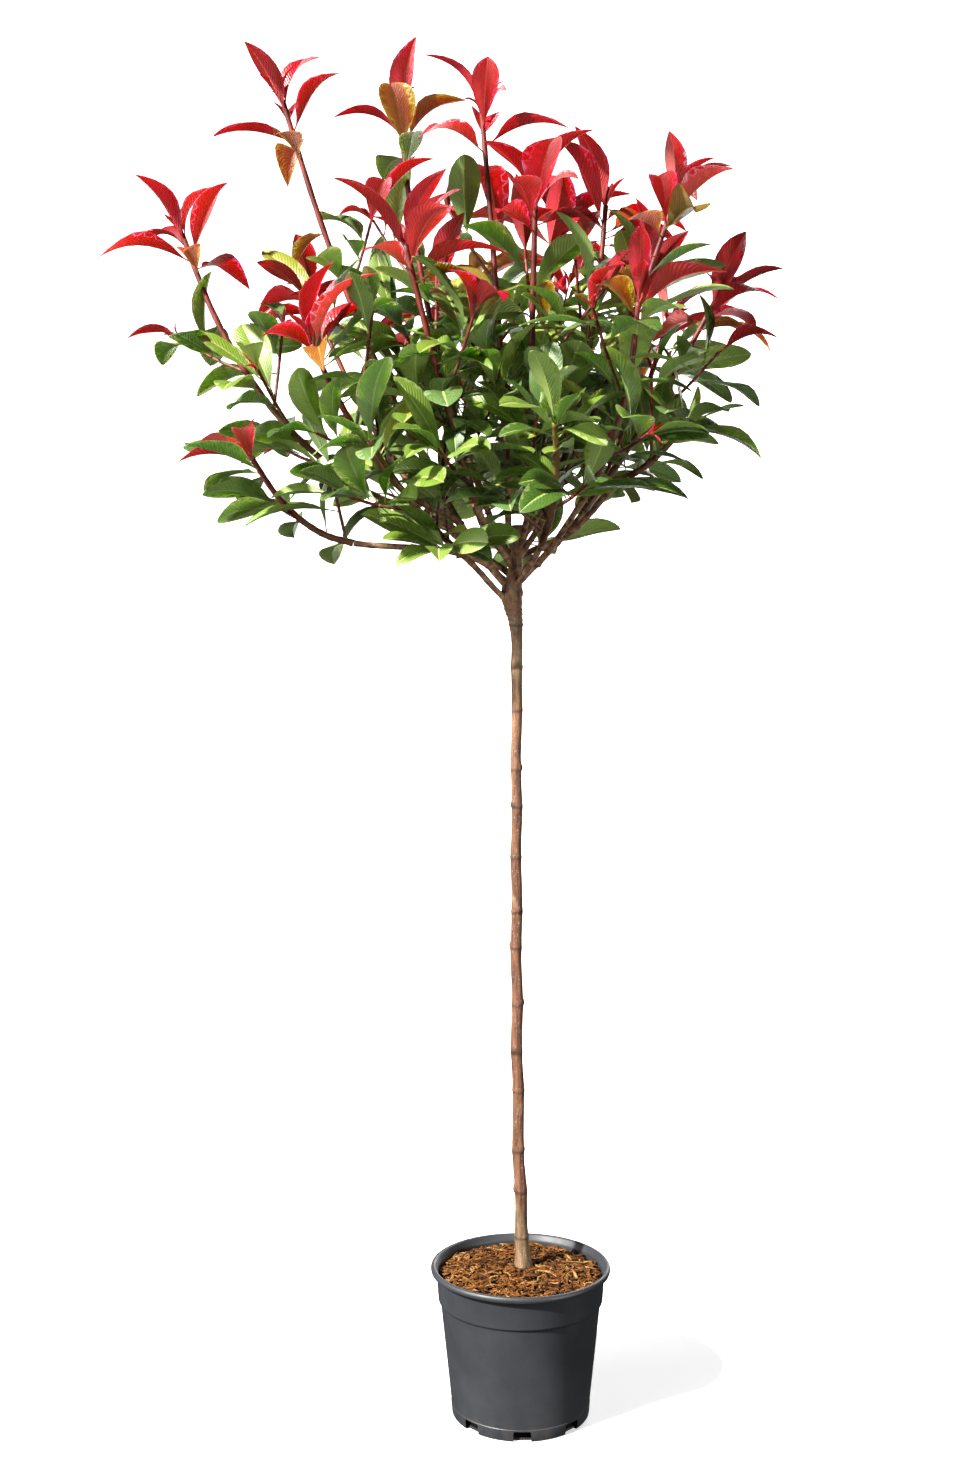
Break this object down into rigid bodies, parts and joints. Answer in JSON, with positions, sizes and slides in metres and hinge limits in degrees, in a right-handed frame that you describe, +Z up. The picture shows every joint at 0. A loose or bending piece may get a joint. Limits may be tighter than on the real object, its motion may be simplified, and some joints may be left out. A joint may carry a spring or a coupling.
{
  "type": "potted carre rouge photinia",
  "caption": "Red-tipped photinia grown as a small standard tree: a bare upright stem, a loose crown of leafy shoots, and the round plastic nursery pot it stands in, filled with bark mulch.",
  "frame": {"origin": "centre of the pot's flat underside, on the ground", "axes": "+Z up the stem, +X to the viewer's right and +Y away from the viewer"},
  "size_m": [0.8611, 0.6643, 1.8251],
  "materials": {
    "pot_plastic": "satin charcoal",
    "bark_mulch": "loose shredded bark",
    "stem_bark": "rough grey-brown bark",
    "twig_bark": "smooth red-brown bark",
    "leaf_green": "glossy leaf",
    "leaf_red": "glossy young leaf"
  },
  "bodies": {
    "root": {"pot": "pot_plastic", "mulch": "bark_mulch", "stem": "stem_bark", "bough_left": "twig_bark", "bough_left_arch": "twig_bark", "bough_left_far": "twig_bark", "bough_left_low": "twig_bark", "bough_left_mid": "twig_bark", "bough_left_back": "twig_bark", "bough_centre_left": "twig_bark", "bough_centre": "twig_bark", "bough_front_left": "twig_bark", "bough_front": "twig_bark", "bough_front_low": "twig_bark", "bough_back": "twig_bark", "bough_back_left": "twig_bark", "bough_back_low": "twig_bark", "bough_right": "twig_bark", "bough_right_low": "twig_bark", "bough_right_front": "twig_bark", "bough_right_tall": "twig_bark", "bough_right_centre": "twig_bark", "bough_right_back": "twig_bark", "foliage_left": "leaf_red", "foliage_left_arch": "leaf_green", "foliage_left_far": "leaf_red", "foliage_left_low": "leaf_green", "foliage_left_mid": "leaf_green", "foliage_left_back": "leaf_red", "foliage_centre_left": "leaf_green", "foliage_centre": "leaf_red", "foliage_front_left": "leaf_red", "foliage_front": "leaf_red", "foliage_front_low": "leaf_green", "foliage_back": "leaf_red", "foliage_back_left": "leaf_red", "foliage_back_low": "leaf_green", "foliage_right": "leaf_red", "foliage_right_low": "leaf_green", "foliage_right_front": "leaf_green", "foliage_right_tall": "leaf_red", "foliage_right_centre": "leaf_red", "foliage_right_back": "leaf_red"}
  },
  "joints": []
}
